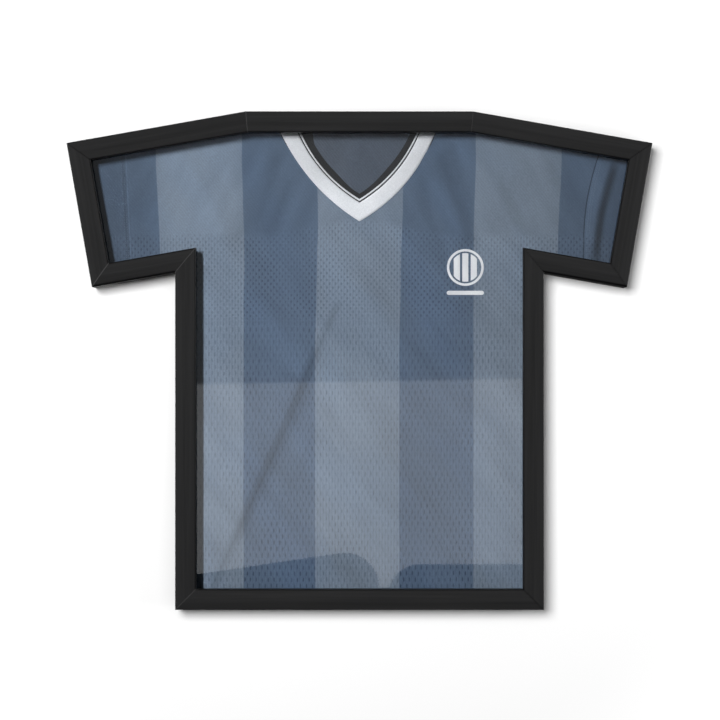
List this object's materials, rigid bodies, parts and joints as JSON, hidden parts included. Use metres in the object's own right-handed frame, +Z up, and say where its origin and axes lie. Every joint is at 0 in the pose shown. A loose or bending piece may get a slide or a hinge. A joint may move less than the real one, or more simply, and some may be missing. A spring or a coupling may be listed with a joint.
{
  "type": "jersey display frame",
  "caption": "Shirt-shaped wall display frame with a clear pane, mitred charcoal rails, a striped jersey on a lift-out board and a back panel held by turn buttons.",
  "frame": {"origin": "midway between the two keyhole entry holes, on the plane that meets the wall", "axes": "+X to the viewer's right along the longest extent, +Y from the viewer into the wall (shortest extent), +Z up"},
  "size_m": [0.79, 0.0319, 0.672],
  "materials": {
    "rail_foil": "satin charcoal foil with fine lengthwise grain over a wood-fibre moulding",
    "spacer_strip": "matt black extrusion",
    "nail_steel": "plain",
    "clear_acrylic": "clear, polished",
    "insert_board": "matt white-grey board",
    "jersey_knit": "slate blue knit with broad tonal stripes, plain yoke and eyelet mesh below",
    "collar_rib": "silver-white knitted band with a dark piping line",
    "badge_film": "silver-white heat-transfer film",
    "hardboard": "smooth brown hardboard",
    "block_wood": "plain planed wood",
    "button_steel": "zinc-plated stamping",
    "screw_steel": "zinc-plated, cross recess",
    "hanger_steel": "zinc-plated stamping"
  },
  "bodies": {
    "frame": {"rail_neck": "rail_foil", "rail_shoulder_right": "rail_foil", "rail_cuff_right": "rail_foil", "rail_underarm_right": "rail_foil", "rail_side_right": "rail_foil", "rail_hem": "rail_foil", "rail_side_left": "rail_foil", "rail_underarm_left": "rail_foil", "rail_cuff_left": "rail_foil", "rail_shoulder_left": "rail_foil", "spacer_neck": "spacer_strip", "spacer_shoulder_right": "spacer_strip", "spacer_cuff_right": "spacer_strip", "spacer_underarm_right": "spacer_strip", "spacer_side_right": "spacer_strip", "spacer_hem": "spacer_strip", "spacer_side_left": "spacer_strip", "spacer_underarm_left": "spacer_strip", "spacer_cuff_left": "spacer_strip", "spacer_shoulder_left": "spacer_strip", "corner_v_nails": "nail_steel", "clear_pane": "clear_acrylic", "turn_button_screws": "screw_steel", "hanger_block_left": "block_wood", "hanger_block_right": "block_wood", "keyhole_plate_left": "hanger_steel", "keyhole_plate_right": "hanger_steel", "hanger_screws": "screw_steel"},
    "insert": {"insert_board": "insert_board", "jersey": "jersey_knit", "jersey_collar": "collar_rib", "chest_badge": "badge_film"},
    "back_panel": {"back_panel": "hardboard"},
    "button_neck_left": {"turn_button_neck_left": "button_steel"},
    "button_neck_right": {"turn_button_neck_right": "button_steel"},
    "button_shoulder_right": {"turn_button_shoulder_right": "button_steel"},
    "button_cuff_right": {"turn_button_cuff_right": "button_steel"},
    "button_side_right_upper": {"turn_button_side_right_upper": "button_steel"},
    "button_side_right_lower": {"turn_button_side_right_lower": "button_steel"},
    "button_hem_right": {"turn_button_hem_right": "button_steel"},
    "button_hem_left": {"turn_button_hem_left": "button_steel"},
    "button_side_left_lower": {"turn_button_side_left_lower": "button_steel"},
    "button_side_left_upper": {"turn_button_side_left_upper": "button_steel"},
    "button_cuff_left": {"turn_button_cuff_left": "button_steel"},
    "button_shoulder_left": {"turn_button_shoulder_left": "button_steel"}
  },
  "joints": [
    {"name": "panel_slide", "type": "slide", "parent": "frame", "child": "back_panel", "axis": [0, 1, 0], "range_m": [0, 0.12]},
    {"name": "insert_slide", "type": "slide", "parent": "frame", "child": "insert", "axis": [0, 1, 0], "range_m": [0, 0.06]},
    {"name": "turn_neck_left", "type": "hinge", "parent": "frame", "child": "button_neck_left", "pos_m": [-0.04292, -0.0032, 0.001], "axis": [0, -1, 0], "range_deg": [-90, 0]},
    {"name": "turn_neck_right", "type": "hinge", "parent": "frame", "child": "button_neck_right", "pos_m": [0.04292, -0.0032, 0.001], "axis": [0, 1, 0], "range_deg": [-90, 0]},
    {"name": "turn_shoulder_right", "type": "hinge", "parent": "frame", "child": "button_shoulder_right", "pos_m": [0.27198, -0.0032, -0.02012], "axis": [0, 1, 0], "range_deg": [-90, 0]},
    {"name": "turn_cuff_right", "type": "hinge", "parent": "frame", "child": "button_cuff_right", "pos_m": [0.36556, -0.0032, -0.1241], "axis": [0, 1, 0], "range_deg": [-90, 0]},
    {"name": "turn_side_right_upper", "type": "hinge", "parent": "frame", "child": "button_side_right_upper", "pos_m": [0.236, -0.0032, -0.31735], "axis": [0, 1, 0], "range_deg": [-90, 0]},
    {"name": "turn_side_right_lower", "type": "hinge", "parent": "frame", "child": "button_side_right_lower", "pos_m": [0.236, -0.0032, -0.54478], "axis": [0, 1, 0], "range_deg": [-90, 0]},
    {"name": "turn_hem_right", "type": "hinge", "parent": "frame", "child": "button_hem_right", "pos_m": [0.12425, -0.0032, -0.646], "axis": [0, 1, 0], "range_deg": [-90, 0]},
    {"name": "turn_hem_left", "type": "hinge", "parent": "frame", "child": "button_hem_left", "pos_m": [-0.12425, -0.0032, -0.646], "axis": [0, -1, 0], "range_deg": [-90, 0]},
    {"name": "turn_side_left_lower", "type": "hinge", "parent": "frame", "child": "button_side_left_lower", "pos_m": [-0.236, -0.0032, -0.54478], "axis": [0, -1, 0], "range_deg": [-90, 0]},
    {"name": "turn_side_left_upper", "type": "hinge", "parent": "frame", "child": "button_side_left_upper", "pos_m": [-0.236, -0.0032, -0.31735], "axis": [0, -1, 0], "range_deg": [-90, 0]},
    {"name": "turn_cuff_left", "type": "hinge", "parent": "frame", "child": "button_cuff_left", "pos_m": [-0.36556, -0.0032, -0.1241], "axis": [0, -1, 0], "range_deg": [-90, 0]},
    {"name": "turn_shoulder_left", "type": "hinge", "parent": "frame", "child": "button_shoulder_left", "pos_m": [-0.27198, -0.0032, -0.02012], "axis": [0, -1, 0], "range_deg": [-90, 0]}
  ],
  "couplings": [
    {"joint": "insert_slide", "follows": "panel_slide", "ratio": 0.5}
  ]
}
